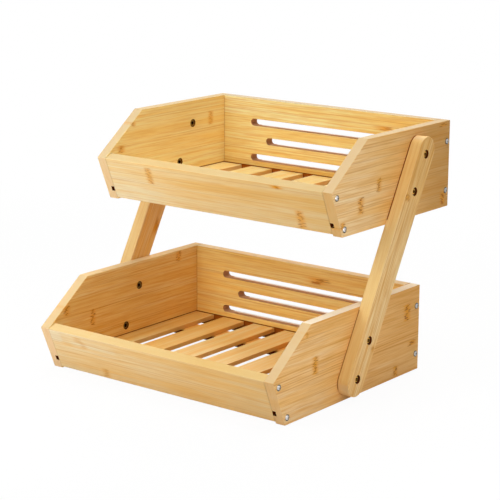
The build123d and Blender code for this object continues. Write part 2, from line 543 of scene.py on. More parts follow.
@dataclass(frozen=True)
class BoxZone:
    """A box of bare wood, painted shade or painted highlight, in millimetres from the grain's origin."""

    tone: RawWood
    share: float = 1.0
    along: Stretch = EVERYWHERE
    across: Stretch = EVERYWHERE
    through: Stretch = EVERYWHERE
    faces: Faces = Faces.ALL
    soft: float = 0.25

    def cover(self, spot: Spot) -> Wire:
        """1 inside the zone and 0 outside."""
        inside = spot.inside(self.along, self.across, self.soft)
        return inside * spot.through.within(*self.through, self.soft) * self.faces.share(spot)


@dataclass(frozen=True)
class BoreZone:
    """Painted shade on the wall of a hole drilled through the piece, in millimetres from the grain's origin.
    """

    along: float
    across: float
    radius: float
    tone: RawWood = RawWood.GAP_SHADE
    share: float = 1.0
    soft: float = 0.2

    def cover(self, spot: Spot) -> Wire:
        """1 on the wall and 0 elsewhere."""
        beside = (spot.along - self.along) ** 2.0 + (spot.across - self.across) ** 2.0
        return (beside ** 0.5).ramp(self.radius + self.soft, self.radius) * spot.cut


Zone = BoxZone | BoreZone


@dataclass(frozen=True)
class Character:
    """What sets one piece of bamboo apart.

    Ripeness runs from 0 for straw over 1 for honey to 2 for amber, and below 0 to cream. The tint
    is laid over that, from the depth tint_from on; it is partly the piece's own hue and partly painted
    light, standing for the colour of the light on inner faces and on the right-hand pieces. Contrast is
    how much the strips differ, veins is the strength of the dark lines, and edge and end are the shares
    of the edge, slope and end tones on the long and sloping edges and on the ends. Those tones are
    sanded wood, set piece by piece darker where an edge catches much light and paler where it lies in
    shade, so they are partly painted light and shade.
    """

    seed: float
    ripeness: float = 0.5
    tint: Colour = WHITE
    tint_from: float = -FAR
    contrast: float = 1.0
    veins: float = 1.0
    edge: float = 0.85
    end: float = 0.80
    edge_tone: Colour = SANDED_AND_SHADED
    slope_tone: Colour = SANDED_AND_SHADED
    end_tone: Colour = SANDED_AND_SHADED
    marks: tuple[NodeMark, ...] = ()
    drifts: tuple[Drift | Patch, ...] = ()
    lamella_start: float = 0.0


@dataclass(frozen=True)
class Figure:
    """The pattern of a piece of bamboo, as wires from 0 to 1."""

    tone: Wire
    stripe: Wire
    broad: Wire
    seam: Wire
    ring: Wire
    vein: Wire
    fine: Wire
    fibre: Wire


class Draw(Enum):
    """Keys that keep the random draws of a board apart."""

    LAMELLA = 3.0
    GLUE = 5.0
    STRIP = 7.0


@dataclass(frozen=True)
class Bamboo:
    """Strip-laminated bamboo under clear satin lacquer; lengths in millimetres.

    A spread is how far a layer of the pattern shifts the ripeness, and a share is how strongly a
    layer shows in its own colour.
    """

    cream: Colour = (0.980, 0.810, 0.500)
    straw: Colour = (0.980, 0.735, 0.370)
    honey: Colour = (0.970, 0.605, 0.205)
    amber: Colour = (0.890, 0.465, 0.105)
    caramel: Colour = (0.720, 0.300, 0.030)
    glue: Colour = (0.560, 0.190, 0.010)
    node_orange: Colour = (0.800, 0.320, 0.000)
    node_brown: Colour = (0.340, 0.070, 0.000)
    cream_ripeness: float = -0.5
    lamella_width: float = 20.6
    strip_width: float = 2.9
    strip_sway: float = 4.4
    glue_line: float = 0.60
    lane_shift: float = 400.0
    ring_count: float = 7.0
    ring_width: float = 0.16
    seam_weight: Stretch = (0.30, 1.0)
    sway: Streaks = Streaks(0.004, 0.11, 2.0, 0.5)
    flow: Streaks = Streaks(0.0035, 0.15, 1.0, 0.5, 0.30, 0.60)
    fine: Streaks = Streaks(0.030, 0.75, 2.0, 0.6, 0.42, 0.66)
    broad: Streaks = Streaks(0.006, 0.10, 3.0, 0.6, 0.30, 0.70)
    vein: Streaks = Streaks(0.012, 0.50, 1.0, 0.5, 0.48, 0.72)
    layer: Streaks = Streaks(0.05, 0.70, 2.0, 0.6, 0.45, 0.70)
    lamella_spread: float = 0.60
    strip_spread: float = 0.45
    broad_spread: float = 1.10
    tint_soft: float = 1.0
    ring_share: float = 0.10
    vein_share: float = 0.38
    fibre_share: float = 0.28
    seam_share: float = 0.60
    most_veins: float = 1.2
    pores_per_mm: float = 1.3
    pore_edge: Stretch = (0.34, 0.16)
    pore_share: float = 0.15
    layer_share: float = 0.22
    stroke_pitch: float = 1.3
    stroke_wander: float = 0.9
    lacquer_roughness: float = 0.42
    fibre_roughness: float = 0.10
    cut_roughness: float = 0.40
    gloss: float = 0.15
    bare_roughness: float = 0.5
    fibre_relief: float = 0.4
    seam_relief: float = 0.8
    bump_strength: float = 0.25
    bump_height: float = 0.08

    def figure(self, spot: Spot, character: Character) -> Figure:
        """Lay out lamellas, strips, veins and fibres.

        Args:
            spot: The shaded point.
            character: The piece's character.

        Returns:
            The pattern's layers.
        """
        graph, seed = spot.graph, character.seed
        sway = self.sway.noise(spot.along, spot.across, seed)
        level = spot.across + (sway - 0.5) * self.strip_sway
        lamella = (level - character.lamella_start) / self.lamella_width
        strip = level / self.strip_width
        tone, _, shift = graph.dice(lamella.floor(), seed, Draw.LAMELLA.value)
        weight, _, _ = graph.dice((strip + 0.5).floor(), seed, Draw.GLUE.value)
        stripe, _, _ = graph.dice(strip.floor(), seed, Draw.STRIP.value)
        edge = abs(strip.fract() - 0.5).ramp(0.5 - self.glue_line / self.strip_width, 0.5)
        lane = spot.along + shift * self.lane_shift
        flow = self.flow.noise(lane, spot.across, spot.through * self.flow.across)
        fine = self.fine.noise(lane, level, spot.through * self.fine.across)
        broad = self.broad.noise(spot.along, spot.across, seed)
        vein = self.vein.noise(lane, level, spot.through * self.vein.across)
        return Figure(
            tone=tone,
            stripe=stripe,
            broad=self.broad.strength(broad),
            seam=edge * weight.ramp(*self.seam_weight) * self.flow.strength(flow),
            ring=abs((flow * self.ring_count).fract() - 0.5).ramp(self.ring_width, 0.0),
            vein=self.vein.strength(vein),
            fine=fine,
            fibre=self.fine.strength(fine),
        )

    def body_colour(self, spot: Spot, figure: Figure, character: Character) -> Wire:
        """The colour of the faces and edges, without end grain and culm nodes.

        Args:
            spot: The shaded point.
            figure: The pattern's layers.
            character: The piece's character.

        Returns:
            The colour.
        """
        graph = spot.graph
        shifts = (figure.tone - 0.5) * self.lamella_spread + (figure.stripe - 0.5) * self.strip_spread
        shifts = shifts + (figure.broad - 0.5) * self.broad_spread
        ripe = shifts * character.contrast + character.ripeness
        # bright carries painted shade: each drift's painted_shade dims the colour where less light falls
        bright: Term = 1.0
        for drift in character.drifts:
            share = drift.share(spot)
            ripe = share * drift.ripeness + ripe
            bright = bright - share * drift.painted_shade
        colour = graph.mix(ripe, self.straw, self.honey)
        colour = graph.mix(ripe - 1.0, colour, self.amber)
        colour = graph.mix(ripe / self.cream_ripeness, colour, self.cream)
        # The tint is partly the piece's own hue and partly painted light: on inner faces, from tint_from on,
        # and on the right-hand pieces it stands for the colour of the light that falls there
        inner = spot.through.ramp(*around(character.tint_from, self.tint_soft))
        tint = graph.mix(inner, WHITE, character.tint)
        colour = graph.scaled(graph.tinted(colour, tint), bright)
        # Edge, slope and end tones: sanded wood, set darker where an edge catches much light and paler where
        # it lies in shade, so partly painted light and shade
        colour = graph.mix((spot.cut - spot.slant) * character.edge, colour, character.edge_tone)
        colour = graph.mix((spot.slant - spot.end) * character.edge, colour, character.slope_tone)
        colour = graph.mix(spot.end * character.end, colour, character.end_tone)
        face = 1.0 - spot.cut
        streaks = (1.0 - spot.slant) * (1.0 - spot.cut * character.edge) * character.veins
        colour = graph.mix(figure.ring * face * self.ring_share, colour, self.caramel)
        colour = graph.mix(figure.vein * streaks * self.vein_share, colour, self.caramel)
        colour = graph.mix(figure.fibre * streaks * self.fibre_share, colour, self.caramel)
        seams = min(character.veins, self.most_veins) * self.seam_share
        return graph.mix(figure.seam * face * seams, colour, self.glue)

    def end_grain(self, spot: Spot, seed: float) -> Wire:
        """Dark dots of the fibre bundles on cut ends, and the layers that they lie in.

        Args:
            spot: The shaded point.
            seed: The piece's own number.

        Returns:
            The share of caramel, from 0 to 1.
        """
        place = spot.graph.vector(spot.across, spot.through, 0.0)
        sockets = {"Vector": place, "Scale": self.pores_per_mm}
        cell = spot.graph.wire("ShaderNodeTexVoronoi", "Distance", {"voronoi_dimensions": "2D"}, sockets)
        layers = self.layer.strength(self.layer.noise(spot.across, spot.through, seed))
        return (cell.ramp(*self.pore_edge) * self.pore_share + layers * self.layer_share) * spot.end

    def stain(self, spot: Spot, fine: Wire, character: Character) -> tuple[Term, Term]:
        """How much brown and how much orange the culm nodes add.

        Args:
            spot: The shaded point.
            fine: Fine fibre noise.
            character: The piece's character.

        Returns:
            The share of brown strokes and the share of orange stain, from 0 to 1.
        """
        brown: Term = 0.0
        orange: Term = 0.0
        lane = spot.across / self.stroke_pitch + (fine - 0.5) * self.stroke_wander
        for mark in character.marks:
            brown = mark.brown(spot, lane, character.seed) + brown
            orange = mark.orange(spot, fine) + orange
        return brown, orange

    def bare_wood_and_shade(self, spot: Spot, zones: Sequence[Zone]) -> tuple[bpy.types.Node, Wire]:
        """Make the finish of the stretches of a piece that show bare wood, painted shade or painted
        highlight.

        Args:
            spot: The shaded point.
            zones: Where the piece shows bare wood, painted shade or painted highlight, the topmost last.

        Returns:
            The matt shader and how much of it shows, from 0 to 1.
        """
        tone: Feed = zones[0].tone.value
        shown: Term = 0.0
        for zone in zones:
            cover = zone.cover(spot)
            tone = spot.graph.mix(cover, tone, zone.tone.value)
            shown = (cover * zone.share).most(shown)
        sockets = {"Color": tone, "Roughness": self.bare_roughness}
        return spot.graph.node("ShaderNodeBsdfDiffuse", sockets=sockets), shown

    def material(
        self, name: str, grain: Grain, character: Character, zones: Sequence[Zone]
    ) -> bpy.types.Material:
        """Make the finish of one piece.

        Args:
            name: The material's name.
            grain: How the piece's fibres lie.
            character: The piece's character.
            zones: Where the piece shows bare wood, painted shade or painted highlight.

        Returns:
            The material.
        """
        material, graph = new_material(name)
        spot = Spot.on(graph, grain)
        figure = self.figure(spot, character)
        colour = self.body_colour(spot, figure, character)
        colour = graph.mix(self.end_grain(spot, character.seed), colour, self.caramel)
        brown, orange = self.stain(spot, figure.fine, character)
        colour = graph.mix(orange, colour, self.node_orange)
        colour = graph.mix(brown, colour, self.node_brown)
        relief = {
            "Strength": self.bump_strength,
            "Distance": self.bump_height * MM,
            "Height": figure.fibre * self.fibre_relief + figure.seam * self.seam_relief,
        }
        sanded = spot.cut * (character.edge * self.cut_roughness)
        sockets = {
            "Base Color": colour,
            "Roughness": figure.fibre * self.fibre_roughness + sanded + self.lacquer_roughness,
            "Normal": graph.wire("ShaderNodeBump", 0, {"invert": True}, relief),
            "Specular IOR Level": self.gloss,
        }
        lacquered = graph.node("ShaderNodeBsdfPrincipled", sockets=sockets)
        bare_or_shaded, shown = self.bare_wood_and_shade(spot, zones)
        close_surface(graph, graph.blend(shown, lacquered, bare_or_shaded))
        return material


@dataclass(frozen=True)
class Plating:
    """Plated metal with fine turning marks; lengths in millimetres.

    Round heads that look sideways get a painted highlight within highlight_radius of a point that
    leans away from the head's middle, and painted shade around it and in the socket; the dark colour
    serves both for that shade and for the darker clouds. Grit and clouds are how much the roughness
    and the colour vary, each with so many features per millimetre.
    """

    colour: Colour
    # Colour of the darker clouds and of the painted shade around the heads' highlights and in their sockets
    dark: Colour
    roughness: float
    highlight_radius: float = 3.0
    highlight_soft: float = 0.5
    lean: float = 0.0
    lean_up: float = 0.4
    socket: float = 0.0
    socket_soft: float = 0.2
    head_reach: Stretch = (9.0, 8.0)
    grit: float = 0.15
    grit_per_mm: float = 0.9
    clouds: float = 0.35
    clouds_per_mm: float = 0.16
    cloud_edge: Stretch = (0.35, 0.80)

    def material(self, name: str, heads: Sequence[Vector] = ()) -> bpy.types.Material:
        """Make the finish.

        Args:
            name: The material's name.
            heads: Middles of the round heads, in metres.

        Returns:
            The material.
        """
        material, graph = new_material(name)
        place = graph.scaled(graph.wire("ShaderNodeTexCoord", "Object"), 1 / MM)
        grit = graph.noise(graph.scaled(place, self.grit_per_mm), 4.0, 0.6)
        cloud = graph.noise(graph.scaled(place, self.clouds_per_mm), 2.0, 0.5)
        colour = graph.mix(cloud.ramp(*self.cloud_edge) * self.clouds, self.colour, self.dark)
        _, y, z = graph.parts(place)
        # Painted highlight and painted shade on each round head: bright within highlight_radius of a point
        # leaning from its middle, dark beyond it and in its socket
        for head in heads:
            beside, above = y - head.y / MM, z - head.z / MM
            middle = (beside ** 2.0 + above ** 2.0) ** 0.5
            leaning = ((beside + self.lean) ** 2.0 + (above - self.lean * self.lean_up) ** 2.0) ** 0.5
            beyond = leaning.ramp(*around(self.highlight_radius, self.highlight_soft))
            colour = graph.mix(beyond * middle.ramp(*self.head_reach), colour, self.dark)
            if self.socket:
                inside = middle.ramp(self.socket + self.socket_soft, self.socket)
                colour = graph.mix(inside, colour, self.dark)
        sockets = {"Base Color": colour, "Metallic": 1.0, "Roughness": grit * self.grit + self.roughness}
        close_surface(graph, graph.node("ShaderNodeBsdfPrincipled", sockets=sockets))
        return material


class Side(Enum):
    """The two sides of the basket, seen from its front."""

    LEFT = "left"
    RIGHT = "right"

    def span(self, near: float, far: float) -> Stretch:
        """A stretch across the basket on this side, from its distances to the middle."""
        return (near, far) if self is Side.RIGHT else (-far, -near)


def dress_node(name: str, material: bpy.types.Material) -> None:
    """Give a node of the frame its finish.

    Args:
        name: The node's name.
        material: The finish.
    """
    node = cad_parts[name]
    node.data.materials.clear()
    node.data.materials.append(material)
    LOG.info("dressed %s with %s", name, material.name)


@dataclass
class Tray:
    """One tray: boards, slatted floor and screws; lengths in millimetres.

    The joint_shade, front_joint_shade and share fields say how strongly a bare tone or painted shade
    shows, and rail_shade is how high painted shade reaches on the rails' sides. Skin is how deep a face's
    own finish goes into a cut, and the margins and the overlap are how far a bare or painted zone reaches
    past the cut, the face or the end that it covers.
    """

    name: str
    setback: float
    rise: float
    depth: float
    boards: Mapping[str, Character]
    nut_holes: Mapping[Side, Sequence[Vector]]
    toe_setback: float = 22.0
    nose_height: float = 53.5
    inner_half: float = 162.0
    height: float = 105.0
    board_thickness: float = 13.0
    groove_low: float = 10.5
    groove_high: float = 16.2
    groove_depth: float = 4.8
    groove_margin: float = 0.3
    nut_bore: float = 10.2
    bore_margin: float = 0.2
    slot_height: float = 9.0
    slot_margin: float = 0.2
    slots: tuple[Stretch, ...] = ((28.0, 117.5), (51.0, 92.5), (74.0, 117.5))
    slot_end: float = 10.0
    slot_lip: float = 8.5
    slat_count: int = 7
    slat_top: float = 16.0
    rail_shade: float = 6.2
    shaded_from: float = 1.0
    joint_line: float = 1.2
    joint_sink: float = 0.4
    joint_width: float = 0.7
    joint_shade: float = 0.6
    front_joint_width: float = 0.9
    front_joint_shade: float = 0.30
    sawn_share: float = 0.6
    highlight_share: float = 0.9
    skin: float = 0.6
    face_margin: float = 0.5
    overlap: float = 1.0
    screw_radius: float = 3.65

    def corner(self) -> Vector:
        """The ground point below the tray's nose, in metres."""
        return Vector((0.0, self.setback - OVERALL_DEPTH / 2, self.rise)) * MM

    def front_grain(self) -> Grain:
        """Fibres of the leaning front panel: left to right, measured from its toe."""
        up = Vector((0.0, -self.toe_setback, self.nose_height)).normalized()
        return Grain(X, up, self.corner() + Y * (self.toe_setback * MM))

    def floor_line(self) -> Stretch:
        """The height of the thin gap between the floor's top and the walls, where a line of painted shade
        runs.
        """
        return (self.slat_top - self.joint_sink, self.slat_top + self.joint_line)

    def end_joints(self, width: float, dark: float) -> list[Zone]:
        """Painted shade in the joints at both ends of a panel that stands between the side panels."""
        ends = [side.span(self.inner_half - width, self.inner_half + self.overlap) for side in Side]
        return [BoxZone(RawWood.JOINT_SHADE, dark, along=end) for end in ends]

    def side_zones(self, side: Side) -> list[Zone]:
        """Painted shade in the groove and the nut holes of a side panel and in the gap above the floor.

        Args:
            side: The side of the basket that the panel is on.

        Returns:
            The zones.
        """
        wall = self.inner_half + self.skin
        groove = side.span(wall, wall + self.groove_depth)
        face = side.span(*around(self.inner_half, self.face_margin))
        heights = (self.groove_low - self.groove_margin, self.groove_high + self.groove_margin)
        zones = [
            BoxZone(RawWood.GAP_SHADE, across=heights, through=groove, faces=Faces.SIDES),
            BoxZone(RawWood.UNDER_SHADE, across=self.floor_line(), through=face),
        ]
        for hole in self.nut_holes[side]:
            place = (hole - self.corner()) / MM
            if 0.0 < place.z < self.height:
                zones.append(BoreZone(place.y, place.z, self.nut_bore / 2 + self.bore_margin))
        return zones

    def back_zones(self) -> list[Zone]:
        """The routed slots of the back panel, their tone partly painted shade and with a painted highlight
        at the back of their floors, and painted shade at its end joints and at and below the floor.

        Returns:
            The zones.
        """
        inner = self.board_thickness - self.depth
        face = around(inner, self.face_margin)
        rear = (-self.depth - self.overlap, inner - self.slot_lip)
        half = self.slot_height / 2 + self.slot_margin
        zones = []
        for height, reach in self.slots:
            slot = around(height, half)
            whole = around(0.0, reach + self.overlap)
            straight = around(0.0, reach - self.slot_end)
            zones.append(BoxZone(RawWood.ROUTED, along=whole, across=slot, faces=Faces.CUT))
            # Painted highlight on the back of each slot's floor
            zones.append(BoxZone(RawWood.HIGHLIGHT, self.highlight_share, straight, slot, rear, Faces.LONG))
        zones.extend(self.end_joints(self.joint_width, self.joint_shade))
        zones.append(BoxZone(RawWood.SHADED, across=(self.shaded_from, self.slat_top), through=face))
        zones.append(BoxZone(RawWood.UNDER_SHADE, across=self.floor_line(), through=face))
        return zones

    def front_zones(self) -> list[Zone]:
        """Painted shade in the joints at the front panel's ends, darkest where the grooves open on them.

        Returns:
            The zones.
        """
        lean = math.hypot(self.toe_setback, self.nose_height) / self.nose_height
        opening = (self.groove_low * lean - self.face_margin, self.groove_high * lean + self.face_margin)
        joints = self.end_joints(self.front_joint_width, self.front_joint_shade)
        return [*joints, BoxZone(RawWood.GAP_SHADE, across=opening, faces=Faces.END)]

    def slat_zones(self) -> list[Zone]:
        """The sawn sides of the slats, their tone partly painted shade between the slats, and painted shade
        on their ends.
        """
        sides = BoxZone(RawWood.SAWN, self.sawn_share, faces=Faces.LONG)
        return [sides, BoxZone(RawWood.GAP_SHADE, faces=Faces.END)]

    def rail_zones(self) -> list[Zone]:
        """The sawn tops of the rails, their tone partly painted shade, and painted shade on their sides,
        which the slats keep in the dark.

        Returns:
            The zones.
        """
        low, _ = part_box(f"{self.name}_rear_floor_rail")
        underside = low.z / MM - self.rise
        dark = (underside, underside + self.rail_shade)
        return [
            BoxZone(RawWood.SAWN, self.sawn_share, through=(underside + self.skin, self.slat_top)),
            BoxZone(RawWood.RAIL_SHADE, through=dark, faces=Faces.LONG),
        ]

    def screw_heads(self, name: str) -> tuple[Vector, Vector]:
        """Find a panel's screw heads from the box of their node.

        Args:
            name: The node's name.

        Returns:
            The middles of the upper and the lower heads, in metres.
        """
        low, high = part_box(name)
        inset = Vector((0.0, self.screw_radius, -self.screw_radius)) * MM
        upper = Vector((0.0, low.y, high.z)) + inset
        lower = Vector((0.0, high.y, low.z)) - inset
        return upper, lower

    def dress(self, screws: Mapping[str, Plating], brad: bpy.types.Material) -> None:
        """Give every piece of the tray its finish.

        Args:
            screws: The finishes of the front and the back panel's screws.
            brad: The finish of the floor's brads.
        """
        corner = self.corner()
        layout = {
            "left_side_panel": (Grain(Y, Z, corner), self.side_zones(Side.LEFT)),
            "right_side_panel": (Grain(Y, Z, corner), self.side_zones(Side.RIGHT)),
            "front_panel": (self.front_grain(), self.front_zones()),
            "back_panel": (Grain(X, Z, corner), self.back_zones()),
            "slats": (Grain(Y, -X, corner), self.slat_zones()),
            "rails": (Grain(X, Y, corner), self.rail_zones()),
        }
        pieces = {
            "slats": [f"floor_slat_{number}" for number in range(1, self.slat_count + 1)],
            "rails": ["front_floor_rail", "rear_floor_rail"],
        }
        for board, (grain, zones) in layout.items():
            finish = Bamboo().material(f"bamboo_{self.name}_{board}", grain, self.boards[board], zones)
            for piece in pieces.get(board, [board]):
                dress_node(f"{self.name}_{piece}", finish)
        for place, screw in screws.items():
            name = f"{self.name}_{place}_screws"
            dress_node(name, screw.material(f"bright_{name}", self.screw_heads(name)))
        dress_node(f"{self.name}_floor_brads", brad)


@dataclass
class Leg:
    """One slanting leg with its bolts and nuts; lengths in millimetres.

    The joints are the stretches along the leg that lie on the side panels, where painted shade lines its
    edges.
    """

    side: Side
    character: Character
    bolt_rise: float
    foot_from_nose: float = 137.3
    foot_height: float = 27.3
    head_from_nose: float = 269.5
    head_height: float = 268.0
    panel_face: float = 175.0
    counterbore: float = 10.2
    bore_margin: float = 0.2
    joint_line: float = 1.8
    lower_joint: Stretch = (-40.0, 76.0)
    lower_joint_shade: float = 0.7
    upper_joint: Stretch = (186.0, 330.0)

    def foot(self) -> Vector:
        """The place of the lowest bolt."""
        return Vector((0.0, self.foot_from_nose - OVERALL_DEPTH / 2, self.foot_height))

    def head(self) -> Vector:
        """The place of the highest bolt."""
        return Vector((0.0, self.head_from_nose - OVERALL_DEPTH / 2, self.head_height))

    def axis(self) -> Vector:
        """The direction up the leg."""
        return (self.head() - self.foot()).normalized()

    def grain(self) -> Grain:
        """Fibres along the leg, strips side by side across its outer face."""
        return Grain(self.axis(), self.axis().cross(X), self.foot() * MM)

    def bolt_places(self) -> tuple[float, ...]:
        """How far along the leg its bolts sit.

        Returns:
            The lengths from the lowest bolt, upwards.
        """
        span = (self.head() - self.foot()).length
        step = self.bolt_rise / self.axis().z
        return (0.0, step, span - step, span)

    def bolt_heads(self) -> tuple[Vector, ...]:
        """The middles of the bolts, in metres."""
        return tuple((self.foot() + self.axis() * place) * MM for place in self.bolt_places())

    def zones(self) -> list[Zone]:
        """Painted shade on the walls of the bolt holes and on the edges that lie on the panels.

        Returns:
            The zones.
        """
        radius = self.counterbore / 2 + self.bore_margin
        bores = [BoreZone(place, 0.0, radius) for place in self.bolt_places()]
        near = (-self.panel_face - self.joint_line, -self.panel_face)
        if self.side is Side.LEFT:
            near = (self.panel_face, self.panel_face + self.joint_line)
        lower = BoxZone(
            RawWood.JOINT_SHADE, self.lower_joint_shade, self.lower_joint, through=near, faces=Faces.LONG
        )
        upper = BoxZone(RawWood.UNDER_SHADE, along=self.upper_joint, through=near, faces=Faces.LONG)
        return [*bores, lower, upper]

    def dress(self, bolt: Plating, nut: Plating) -> None:
        """Give the leg and its fixings their finish.

        Args:
            bolt: The finish of the bolts.
            nut: The finish of the nuts.
        """
        name = f"{self.side.value}_leg"
        finish = Bamboo().material(f"bamboo_{name}", self.grain(), self.character, self.zones())
        dress_node(name, finish)
        heads = self.bolt_heads()
        dress_node(f"{name}_bolts", bolt.material(f"bronze_{name}_bolts", heads))
        dress_node(f"{name}_nuts", nut.material(f"bronze_{name}_nuts", heads))


@dataclass(frozen=True)
class Softbox:
    """A square studio lamp that looks at the basket; lengths in metres, angles in degrees."""

    name: str
    azimuth: float
    elevation: float
    distance: float
    width: float
    level: float

    def build(self, target: Vector) -> None:
        """Hang the lamp.

        Args:
            target: The point that it looks at.
        """
        data = bpy.data.lights.new(self.name, "AREA")
        data.shape = "SQUARE"
        data.size = self.width
        data.energy = self.level * (math.pi * self.distance) ** 2
        lamp = bpy.data.objects.new(self.name, data)
        turn, rise = math.radians(self.azimuth), math.radians(self.elevation)
        flat = math.cos(rise)
        away = Vector((math.sin(turn) * flat, -math.cos(turn) * flat, math.sin(rise)))
        lamp.visible_camera = False
        lamp.location = target + away * self.distance
        lamp.rotation_euler = away.to_track_quat("Z", "Y").to_euler()
        bpy.context.scene.collection.objects.link(lamp)
        LOG.info("hung %s", self.name)


@dataclass
class Studio:
    """White floor, white surroundings and soft lamps; lengths in metres.

    Floor_glow is how much of the floor shows as plain white where it keeps the shadow, up to the
    distance shadow_reach from the basket.
    """

    floor_white: float = 0.85
    floor_glow: float = 0.95
    shadow_reach: float = 0.6
    floor_reach: float = 40.0
    target: Vector = Vector((0.0, 0.0, 0.15))
    lamps: tuple[Softbox, ...] = (
        Softbox("key_front", -18.4, 36.0, 0.70, 0.40, 0.372),
        Softbox("low_front", -23.2, 24.0, 0.78, 0.40, 0.218),
        Softbox("overhead", 0.0, 85.0, 1.80, 0.95, 0.255),
        Softbox("top_right", 120.0, 70.0, 0.95, 0.50, 0.325),
        Softbox("side_right", 65.6, 13.9, 0.62, 0.35, 0.258),
        Softbox("side_left", -80.0, 25.0, 0.95, 0.50, 0.140),
        Softbox("back_left", -150.0, 35.0, 1.80, 0.95, 0.455),
        Softbox("back", 180.0, 45.0, 1.80, 0.95, 0.237),
    )

    @staticmethod
    def seen(graph: Graph) -> Wire:
        """Tell what is looked at from what only lights things.

        Args:
            graph: The material's or the world's graph.

        Returns:
            1 for rays from the camera, a mirror or a glass, and 0 for all others.
        """
        path = graph.node("ShaderNodeLightPath")
        kinds = ("Is Camera Ray", "Is Glossy Ray", "Is Transmission Ray")
        camera, glossy, transmission = (Wire(graph, path.outputs[kind]) for kind in kinds)
        return camera.most(glossy).most(transmission)

    def build_sky(self) -> None:
        """White all round where it is seen; the light comes from the lamps."""
        world = bpy.data.worlds.new("surroundings")
        world.use_nodes = True
        graph = Graph(world.node_tree)
        sky = graph.node("ShaderNodeBackground", sockets={"Color": WHITE, "Strength": self.seen(graph)})
        close_surface(graph, sky, "ShaderNodeOutputWorld")
        bpy.context.scene.world = world

    def build_floor(self) -> None:
        """A wide pale floor that keeps a soft shadow."""
        material, graph = new_material("floor_white")
        matt = graph.node("ShaderNodeBsdfDiffuse", sockets={"Color": (self.floor_white,) * 3})
        glow = graph.node("ShaderNodeEmission", sockets={"Color": WHITE, "Strength": 1.0})
        x, y, _ = graph.parts(graph.wire("ShaderNodeTexCoord", "Object"))
        away = ((x * x + y * y) ** 0.5).ramp(self.shadow_reach, self.shadow_reach * 2)
        share = self.seen(graph) * (away * (1.0 - self.floor_glow) + self.floor_glow)
        close_surface(graph, graph.blend(share, matt, glow))
        shape = bmesh.new()
        bmesh.ops.create_grid(shape, x_segments=1, y_segments=1, size=self.floor_reach / 2)
        mesh = bpy.data.meshes.new("floor")
        shape.to_mesh(mesh)
        shape.free()
        mesh.materials.append(material)
        floor = bpy.data.objects.new("floor", mesh)
        bpy.context.scene.collection.objects.link(floor)

    def build(self) -> None:
        """Set up surroundings, floor and lamps."""
        self.build_sky()
        self.build_floor()
        for lamp in self.lamps:
            lamp.build(self.target)


@dataclass
class Viewpoint:
    """The camera: angles in degrees, lengths in metres, lens and film in millimetres."""

    azimuth: float = 37.9909
    elevation: float = 13.5497
    roll: float = 0.2487
    place: Vector = Vector((1.22597, -1.56066, 0.62095))
    lens: float = 122.30
    film: float = 36.0

    def build(self) -> None:
        """Set up the camera and make it the scene's own."""
        data = bpy.data.cameras.new("camera")
        data.sensor_width = self.film
        data.lens = self.lens
        camera = bpy.data.objects.new("camera", data)
        tilt = math.radians(90.0 - self.elevation)
        turn = Matrix.Rotation(math.radians(self.azimuth), 4, "Z") @ Matrix.Rotation(tilt, 4, "X")
        turn = turn @ Matrix.Rotation(math.radians(self.roll), 4, "Z")
        camera.matrix_world = Matrix.Translation(self.place) @ turn
        bpy.context.scene.collection.objects.link(camera)
        bpy.context.scene.camera = camera


